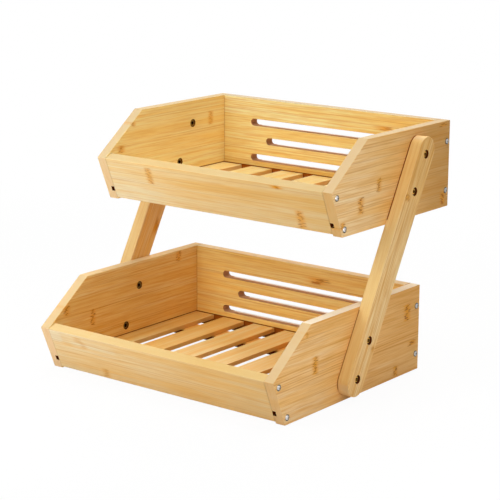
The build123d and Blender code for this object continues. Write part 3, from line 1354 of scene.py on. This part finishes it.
LOWER_BOARDS = {
    "left_side_panel": Character(
        # The tint on the inner face, from tint_from on, is painted light
        seed=11.0, ripeness=1.25, tint=(0.93, 1.0, 1.02), tint_from=-168.0, contrast=0.55,
        veins=1.3, end=1.0, end_tone=(0.970, 0.680, 0.380), lamella_start=41.0,
        marks=(
            NodeMark(32.0, 63.0, 75.0, 5.0, 1.0, 0.55),
            NodeMark(77.0, 41.0, 61.0, 4.2, 0.95, 0.50),
            NodeMark(240.0, 91.0, 104.0, 4.6, 1.0, 0.55),
        ),
        drifts=(
            Drift(Axis.ACROSS, 35.0, 65.0, -0.25),
            Drift(Axis.ACROSS, 75.0, 105.0, -0.35),
            Drift(Axis.ALONG, 150.0, 280.0, -0.20),
        ),
    ),
    "right_side_panel": Character(
        # Painted light: the tint stands for the colour of the light from the right, and the pale edge tone
        # lightens the top edge in the upper tray's shade
        seed=14.7, ripeness=0.70, tint=(0.975, 0.935, 0.985), contrast=0.7, veins=1.2, end=0.60,
        edge_tone=(0.960, 0.880, 0.700), slope_tone=(0.725, 0.530, 0.285),
        end_tone=(0.800, 0.500, 0.220), lamella_start=45.3,
        marks=(
            NodeMark(77.0, 45.0, 66.0, 5.0, 1.0, 0.75),
            NodeMark(61.0, 91.0, 97.0, 3.0, 0.60, 0.45),
            NodeMark(263.0, 66.0, 86.0, 6.0, 1.2, 0.85),
            NodeMark(276.0, 33.0, 39.0, 8.0, 1.2, 0.85),
            NodeMark(240.0, 3.0, 15.0, 4.4, 1.1, 0.75),
        ),
        drifts=(
            # Painted shade: riper from the leg rearwards, and riper and duller towards the rear
            Drift(Axis.ALONG, 80.0, 112.0, 0.30),
            Drift(Axis.ALONG, 130.0, 260.0, 0.40, 0.03),
            Patch((-10.0, 45.0), (40.0, 80.0), -0.15, soft=8.0),
        ),
    ),
    "front_panel": Character(
        seed=18.4, ripeness=0.40, tint=(1.0, 1.0, 1.03), contrast=0.75, veins=0.55, edge=0.60,
        edge_tone=(0.675, 0.475, 0.175), lamella_start=16.0,
        marks=(
            NodeMark(-118.0, 47.0, 55.0, 6.0, 0.12, 0.30),
            NodeMark(-110.0, 40.0, 49.0, 5.0, 0.12, 0.28),
            NodeMark(-85.5, 4.0, 16.0, 5.0, 0.30, 0.50),
        ),
        drifts=(
            # Painted light and shade: paler towards the left end, where more light falls, riper and duller
            # towards the right
            Drift(Axis.ALONG, -40.0, -175.0, -0.55),
            Drift(Axis.ALONG, -40.0, 80.0, 0.38, 0.03),
            Drift(Axis.ALONG, 90.0, 160.0, -0.18, 0.04),
            # Painted highlights: pale patches of sheen at the top left
            Patch((-170.0, -146.0), (40.0, 54.0), -0.75),
            Patch((-130.0, -60.0), (37.0, 48.0), -0.35),
        ),
    ),
    "back_panel": Character(
        # The tint on the inner face, from tint_from on, is painted light
        seed=22.1, ripeness=0.82, tint=(1.03, 1.12, 0.94), tint_from=-281.0, contrast=0.75,
        veins=0.8, edge_tone=(0.850, 0.680, 0.440), lamella_start=1.0,
        marks=(NodeMark(33.0, 84.0, 92.0, 15.0, 0.9, 0.60),),
        drifts=(
            Drift(Axis.ACROSS, 30.0, 60.0, -0.40),
            Drift(Axis.ALONG, -40.0, -160.0, 0.10),
            Drift(Axis.ALONG, -30.0, 40.0, 0.12),
        ),
    ),
    "slats": Character(
        seed=51.0, ripeness=0.70, tint=(0.97, 1.01, 0.94), veins=0.25, edge=0.0, end=0.0,
        # Painted shade: riper and duller towards the left side panel
        drifts=(Drift(Axis.ACROSS, 60.0, 150.0, 0.35, 0.11),),
    ),
    "rails": Character(seed=61.0, ripeness=1.2, edge=0.0, end=0.0),
}

UPPER_BOARDS = {
    "left_side_panel": Character(
        # The tint on the inner face is painted light, and the dark edge tones offset the strong light on the
        # edges: painted shade
        seed=23.0, ripeness=0.22, tint=(1.0, 1.10, 1.0), tint_from=-168.0, contrast=0.65,
        veins=0.75, end=1.0, edge_tone=(0.545, 0.415, 0.240), slope_tone=(0.670, 0.500, 0.285),
        end_tone=(0.880, 0.640, 0.350), lamella_start=45.5,
        marks=(
            NodeMark(202.0, 70.0, 87.0, 4.4, 0.40, 0.55),
            NodeMark(52.0, 86.0, 91.0, 4.0, 0.70, 0.55),
            NodeMark(29.0, 56.0, 65.0, 5.5, 0.65, 0.60),
        ),
        drifts=(Drift(Axis.ACROSS, 70.0, 105.0, 0.35), Drift(Axis.ALONG, 100.0, 200.0, 0.10)),
    ),
    "right_side_panel": Character(
        # Painted light and shade: the tint stands for the colour of the light from the right, and the dark
        # edge and slope tones offset the strong light on the edges
        seed=26.7, ripeness=0.32, tint=(1.0, 0.955, 0.98), contrast=0.7, veins=0.9, end=1.0,
        edge_tone=(0.550, 0.430, 0.260), slope_tone=(0.670, 0.490, 0.270),
        end_tone=(0.730, 0.470, 0.190), lamella_start=40.5,
        marks=(
            NodeMark(93.0, 41.0, 57.0, 4.6, 0.95, 0.58),
            NodeMark(56.5, 21.0, 40.0, 5.2, 1.0, 0.66),
            NodeMark(22.0, 9.0, 17.0, 4.0, 0.80, 0.80),
            NodeMark(231.0, 4.0, 18.0, 4.6, 1.2, 0.80),
            NodeMark(228.0, 99.0, 103.0, 9.0, 0.90, 0.60),
        ),
        drifts=(
            Drift(Axis.ALONG, 30.0, 130.0, 0.50),
            Drift(Axis.ALONG, 70.0, 110.0, 0.15),
            # Painted shadow of the leg: riper and darker towards the rear
            Drift(Axis.ALONG, 130.0, 220.0, 0.70, 0.19),
        ),
    ),
    "front_panel": Character(
        seed=30.4, ripeness=0.42, tint=(0.945, 0.98, 1.0), contrast=0.75, veins=0.55, edge=0.60,
        # Painted shade: the dark edge tone offsets the strong light on the top edge
        edge_tone=(0.510, 0.380, 0.180), lamella_start=31.0,
        marks=(
            NodeMark(-96.5, 31.0, 53.0, 4.6, 0.60, 0.60),
            NodeMark(97.0, 53.0, 56.5, 7.0, 1.0, 1.0),
            NodeMark(137.0, 59.0, 63.0, 5.0, 0.7, 0.8),
            NodeMark(122.0, 4.0, 27.0, 5.0, 0.70, 0.60),
        ),
        drifts=(
            # Painted light and shade: paler towards the left end, where more light falls, and duller towards
            # the right
            Drift(Axis.ALONG, -20.0, -175.0, -0.62),
            Drift(Axis.ALONG, -120.0, 150.0, 0.10, 0.11),
            Drift(Axis.ALONG, 120.0, 160.0, 0.05, 0.05),
        ),
    ),
    "back_panel": Character(
        # The tint on the inner face is painted light, and the dark edge tone offsets the strong light on the
        # top edge: painted shade
        seed=34.1, ripeness=0.72, tint=(0.94, 1.07, 0.96), tint_from=-235.0, contrast=0.7,
        edge_tone=(0.490, 0.375, 0.245), marks=(NodeMark(89.0, 84.5, 89.5, 10.0, 0.75, 0.70),),
        drifts=(
            Drift(Axis.ACROSS, 30.0, 75.0, -0.50),
            Drift(Axis.ALONG, -20.0, -160.0, -0.30),
            Drift(Axis.ALONG, 0.0, 130.0, 0.55),
            # Painted shade: riper and darker below the lowest slot
            Drift(Axis.ACROSS, 26.0, 20.0, 0.45, 0.16),
        ),
    ),
    "slats": Character(
        seed=63.0, ripeness=0.15, tint=(0.97, 1.06, 0.93), veins=0.5, edge=0.0, end=0.0
    ),
    "rails": Character(seed=73.0, ripeness=0.8, edge=0.0, end=0.0),
}

LEFT_LEG = Character(
    seed=61.0, ripeness=0.72, contrast=0.8, veins=1.1, edge=0.50, edge_tone=(0.780, 0.520, 0.190),
    end=0.35, marks=(NodeMark(134.0, 7.0, 13.0, 9.0, 0.7, 0.9),),
)
RIGHT_LEG = Character(
    # The tint stands for the colour of the light from the right: painted light
    seed=67.0, ripeness=0.50, tint=(1.0, 0.985, 0.98), contrast=0.7, veins=1.6, edge=0.65,
    edge_tone=(0.860, 0.620, 0.250), end=0.20,
    marks=(NodeMark(217.0, -15.0, -6.0, 4.0, 1.1, 0.65), NodeMark(40.0, 8.0, 15.0, 3.2, 0.7, 0.5)),
    drifts=(Drift(Axis.ALONG, 90.0, 0.0, 0.22, 0.03), Drift(Axis.ALONG, 160.0, 250.0, 0.60)),
)

# Painted highlights and shade on the heads: the back screws are a darker copy of the front ones, painted
# shade for where they sit, and the bolts' gold is partly bronze and partly a painted glint
FRONT_SCREW = Plating((0.68, 0.65, 0.62), (0.10, 0.09, 0.06), 0.16, highlight_radius=2.5, lean=1.4)
SHADED_BACK_SCREW = Plating((0.46, 0.44, 0.42), (0.08, 0.07, 0.05), 0.16, highlight_radius=2.7, lean=0.8)
BOLT = Plating((0.90, 0.48, 0.09), (0.050, 0.016, 0.002), 0.50, highlight_radius=3.2, lean=0.9, socket=2.0)
NUT = Plating((0.26, 0.16, 0.04), (0.030, 0.012, 0.004), 0.26, highlight_radius=4.2, lean=0.3, socket=2.4)
BRAD = Plating((0.55, 0.55, 0.55), (0.40, 0.40, 0.40), 0.35)


def main() -> None:
    """Dress the basket, then set up the studio and the camera."""
    logging.basicConfig(level=logging.INFO, format="%(name)s: %(message)s")
    bpy.context.scene.view_settings.view_transform = "Standard"
    legs = (Leg(Side.LEFT, LEFT_LEG, bolt_rise=47.2), Leg(Side.RIGHT, RIGHT_LEG, bolt_rise=40.8))
    holes = {leg.side: leg.bolt_heads() for leg in legs}
    lower = Tray(
        "lower", setback=0.0, rise=0.0, depth=289.5, boards=LOWER_BOARDS, nut_holes=holes,
        joint_shade=0.58, front_joint_shade=0.15,
    )
    upper = Tray(
        "upper", setback=103.5, rise=192.0, depth=243.5, boards=UPPER_BOARDS, nut_holes=holes,
        joint_shade=0.47,
    )
    brad = BRAD.material("brad_steel")
    for tray in (lower, upper):
        tray.dress({"front": FRONT_SCREW, "back": SHADED_BACK_SCREW}, brad)
    for leg in legs:
        leg.dress(BOLT, NUT)
    Studio().build()
    Viewpoint().build()


if __name__ == "__main__":
    main()
